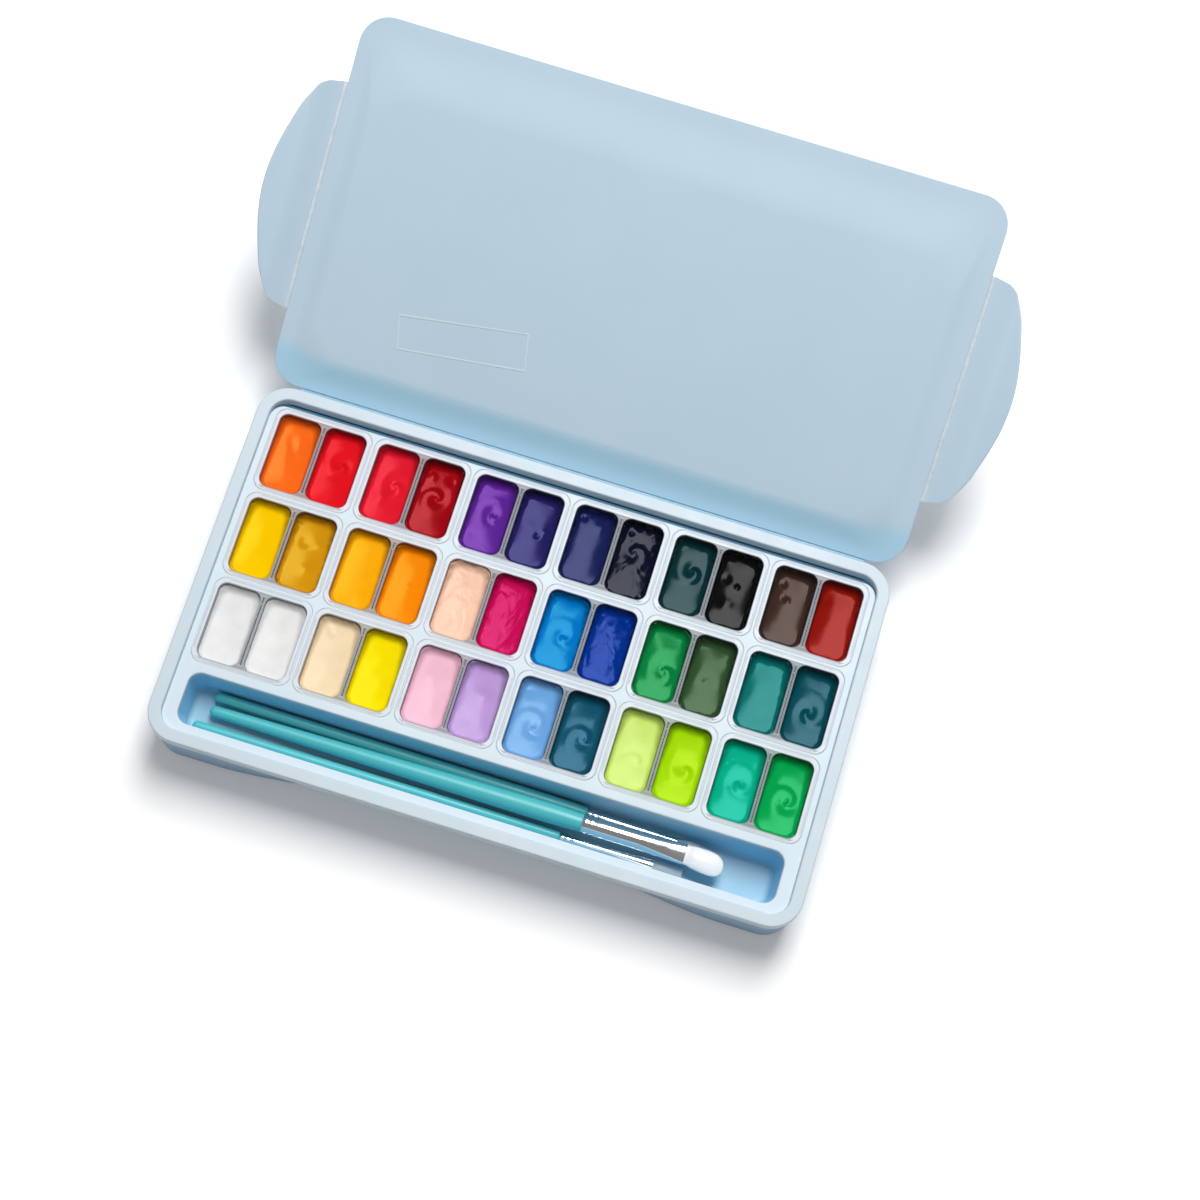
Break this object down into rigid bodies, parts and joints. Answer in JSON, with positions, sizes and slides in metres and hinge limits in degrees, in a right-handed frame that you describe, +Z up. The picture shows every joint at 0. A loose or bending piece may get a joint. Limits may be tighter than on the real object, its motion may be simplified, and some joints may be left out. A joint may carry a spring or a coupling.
{
  "type": "gouache paint set box",
  "caption": "Shallow plastic gouache box with lift-out twin paint cups, a brush trough with brushes, and a thin hinged lid with folding latch wings.",
  "frame": {"origin": "centre of the case's flat underside, on the surface it stands on", "axes": "+X along the case to the right seen from the brush side, +Y towards the lid hinge, +Z up"},
  "size_m": [0.3096, 0.2887, 0.0956],
  "materials": {
    "case_plastic": "fine satin moulded polypropylene, pale blue",
    "tray_plastic": "fine satin moulded polypropylene, pale blue",
    "lid_plastic": "thin satin polypropylene, pale grey blue",
    "hinge_plastic": "stress-whitened thin web of the same plastic",
    "cup_plastic": "frosted translucent plastic",
    "handle_lacquer": "satin teal lacquer over wood",
    "ferrule_metal": "polished nickel-plated tube, drawn lengthwise",
    "tuft_white": "white nylon hair, gummed smooth",
    "tuft_clear": "clear nylon hair, gummed smooth",
    "paint_cool_white": "wet, glossy gouache gel",
    "paint_bright_white": "wet, glossy gouache gel",
    "paint_buff": "wet, glossy gouache gel",
    "paint_lemon_yellow": "wet, glossy gouache gel",
    "paint_rose_pink": "wet, glossy gouache gel",
    "paint_lilac": "wet, glossy gouache gel",
    "paint_sky_blue": "wet, glossy gouache gel",
    "paint_slate_teal": "wet, glossy gouache gel",
    "paint_pale_lime": "wet, glossy gouache gel",
    "paint_yellow_green": "wet, glossy gouache gel",
    "paint_turquoise_green": "wet, glossy gouache gel",
    "paint_bright_green": "wet, glossy gouache gel",
    "paint_middle_yellow": "wet, glossy gouache gel",
    "paint_yellow_ochre": "wet, glossy gouache gel",
    "paint_golden_yellow": "wet, glossy gouache gel",
    "paint_orange_yellow": "wet, glossy gouache gel",
    "paint_peach": "wet, glossy gouache gel",
    "paint_magenta": "wet, glossy gouache gel",
    "paint_cerulean": "wet, glossy gouache gel",
    "paint_ultramarine": "wet, glossy gouache gel",
    "paint_leaf_green": "wet, glossy gouache gel",
    "paint_olive_green": "wet, glossy gouache gel",
    "paint_teal": "wet, glossy gouache gel",
    "paint_deep_teal": "wet, glossy gouache gel",
    "paint_orange": "wet, glossy gouache gel",
    "paint_vermilion": "wet, glossy gouache gel",
    "paint_scarlet": "wet, glossy gouache gel",
    "paint_crimson": "wet, glossy gouache gel",
    "paint_violet": "wet, glossy gouache gel",
    "paint_blue_violet": "wet, glossy gouache gel",
    "paint_indigo": "wet, glossy gouache gel",
    "paint_midnight": "wet, glossy gouache gel",
    "paint_black_green": "wet, glossy gouache gel",
    "paint_black": "wet, glossy gouache gel",
    "paint_umber": "wet, glossy gouache gel",
    "paint_burnt_sienna": "wet, glossy gouache gel"
  },
  "bodies": {
    "case": {"base_shell": "case_plastic", "cup_tray": "tray_plastic", "lid_hinge_web": "hinge_plastic"},
    "lid": {"lid_panel": "lid_plastic", "left_wing_hinge_web": "hinge_plastic", "right_wing_hinge_web": "hinge_plastic"},
    "left_wing": {"left_wing": "lid_plastic"},
    "right_wing": {"right_wing": "lid_plastic"},
    "cup_1_1": {"twin_cup_1_1": "cup_plastic", "paint_pair_1_1": "paint_cool_white"},
    "cup_1_2": {"twin_cup_1_2": "cup_plastic", "paint_pair_1_2": "paint_buff"},
    "cup_1_3": {"twin_cup_1_3": "cup_plastic", "paint_pair_1_3": "paint_rose_pink"},
    "cup_1_4": {"twin_cup_1_4": "cup_plastic", "paint_pair_1_4": "paint_sky_blue"},
    "cup_1_5": {"twin_cup_1_5": "cup_plastic", "paint_pair_1_5": "paint_pale_lime"},
    "cup_1_6": {"twin_cup_1_6": "cup_plastic", "paint_pair_1_6": "paint_turquoise_green"},
    "cup_2_1": {"twin_cup_2_1": "cup_plastic", "paint_pair_2_1": "paint_middle_yellow"},
    "cup_2_2": {"twin_cup_2_2": "cup_plastic", "paint_pair_2_2": "paint_golden_yellow"},
    "cup_2_3": {"twin_cup_2_3": "cup_plastic", "paint_pair_2_3": "paint_peach"},
    "cup_2_4": {"twin_cup_2_4": "cup_plastic", "paint_pair_2_4": "paint_cerulean"},
    "cup_2_5": {"twin_cup_2_5": "cup_plastic", "paint_pair_2_5": "paint_leaf_green"},
    "cup_2_6": {"twin_cup_2_6": "cup_plastic", "paint_pair_2_6": "paint_teal"},
    "cup_3_1": {"twin_cup_3_1": "cup_plastic", "paint_pair_3_1": "paint_orange"},
    "cup_3_2": {"twin_cup_3_2": "cup_plastic", "paint_pair_3_2": "paint_scarlet"},
    "cup_3_3": {"twin_cup_3_3": "cup_plastic", "paint_pair_3_3": "paint_violet"},
    "cup_3_4": {"twin_cup_3_4": "cup_plastic", "paint_pair_3_4": "paint_indigo"},
    "cup_3_5": {"twin_cup_3_5": "cup_plastic", "paint_pair_3_5": "paint_black_green"},
    "cup_3_6": {"twin_cup_3_6": "cup_plastic", "paint_pair_3_6": "paint_umber"},
    "round_brush": {"round_brush_handle": "handle_lacquer", "round_brush_ferrule": "ferrule_metal", "round_brush_tuft": "tuft_clear"},
    "filbert_brush": {"filbert_brush_handle": "handle_lacquer", "filbert_brush_ferrule": "ferrule_metal", "filbert_brush_tuft": "tuft_white"},
    "flat_brush": {"flat_brush_handle": "handle_lacquer", "flat_brush_ferrule": "ferrule_metal", "flat_brush_tuft": "tuft_clear"}
  },
  "joints": [
    {"name": "lid_hinge", "type": "hinge", "parent": "case", "child": "lid", "pos_m": [0, 0.07675, 0.0293], "axis": [-1, 0, 0], "range_deg": [-153.5, 26.5]},
    {"name": "left_wing_fold", "type": "hinge", "parent": "lid", "child": "left_wing", "pos_m": [-0.13295, 0.14517, 0.06162], "axis": [0, -0.8949, -0.4462], "range_deg": [-90, 0]},
    {"name": "right_wing_fold", "type": "hinge", "parent": "lid", "child": "right_wing", "pos_m": [0.13295, 0.14517, 0.06162], "axis": [0, 0.8949, 0.4462], "range_deg": [-90, 0]},
    {"name": "lift_cup_1_1", "type": "slide", "parent": "case", "child": "cup_1_1", "axis": [0, 0, 1], "range_m": [0, 0.032]},
    {"name": "lift_cup_1_2", "type": "slide", "parent": "case", "child": "cup_1_2", "axis": [0, 0, 1], "range_m": [0, 0.032]},
    {"name": "lift_cup_1_3", "type": "slide", "parent": "case", "child": "cup_1_3", "axis": [0, 0, 1], "range_m": [0, 0.032]},
    {"name": "lift_cup_1_4", "type": "slide", "parent": "case", "child": "cup_1_4", "axis": [0, 0, 1], "range_m": [0, 0.032]},
    {"name": "lift_cup_1_5", "type": "slide", "parent": "case", "child": "cup_1_5", "axis": [0, 0, 1], "range_m": [0, 0.032]},
    {"name": "lift_cup_1_6", "type": "slide", "parent": "case", "child": "cup_1_6", "axis": [0, 0, 1], "range_m": [0, 0.032]},
    {"name": "lift_cup_2_1", "type": "slide", "parent": "case", "child": "cup_2_1", "axis": [0, 0, 1], "range_m": [0, 0.032]},
    {"name": "lift_cup_2_2", "type": "slide", "parent": "case", "child": "cup_2_2", "axis": [0, 0, 1], "range_m": [0, 0.032]},
    {"name": "lift_cup_2_3", "type": "slide", "parent": "case", "child": "cup_2_3", "axis": [0, 0, 1], "range_m": [0, 0.032]},
    {"name": "lift_cup_2_4", "type": "slide", "parent": "case", "child": "cup_2_4", "axis": [0, 0, 1], "range_m": [0, 0.032]},
    {"name": "lift_cup_2_5", "type": "slide", "parent": "case", "child": "cup_2_5", "axis": [0, 0, 1], "range_m": [0, 0.032]},
    {"name": "lift_cup_2_6", "type": "slide", "parent": "case", "child": "cup_2_6", "axis": [0, 0, 1], "range_m": [0, 0.032]},
    {"name": "lift_cup_3_1", "type": "slide", "parent": "case", "child": "cup_3_1", "axis": [0, 0, 1], "range_m": [0, 0.032]},
    {"name": "lift_cup_3_2", "type": "slide", "parent": "case", "child": "cup_3_2", "axis": [0, 0, 1], "range_m": [0, 0.032]},
    {"name": "lift_cup_3_3", "type": "slide", "parent": "case", "child": "cup_3_3", "axis": [0, 0, 1], "range_m": [0, 0.032]},
    {"name": "lift_cup_3_4", "type": "slide", "parent": "case", "child": "cup_3_4", "axis": [0, 0, 1], "range_m": [0, 0.032]},
    {"name": "lift_cup_3_5", "type": "slide", "parent": "case", "child": "cup_3_5", "axis": [0, 0, 1], "range_m": [0, 0.032]},
    {"name": "lift_cup_3_6", "type": "slide", "parent": "case", "child": "cup_3_6", "axis": [0, 0, 1], "range_m": [0, 0.032]},
    {"name": "lift_round_brush", "type": "slide", "parent": "case", "child": "round_brush", "axis": [0, 0, 1], "range_m": [0, 0.036]},
    {"name": "lift_filbert_brush", "type": "slide", "parent": "round_brush", "child": "filbert_brush", "axis": [0, 0, 1], "range_m": [0, 0.036]},
    {"name": "lift_flat_brush", "type": "slide", "parent": "case", "child": "flat_brush", "axis": [0, 0, 1], "range_m": [0, 0.036]}
  ]
}
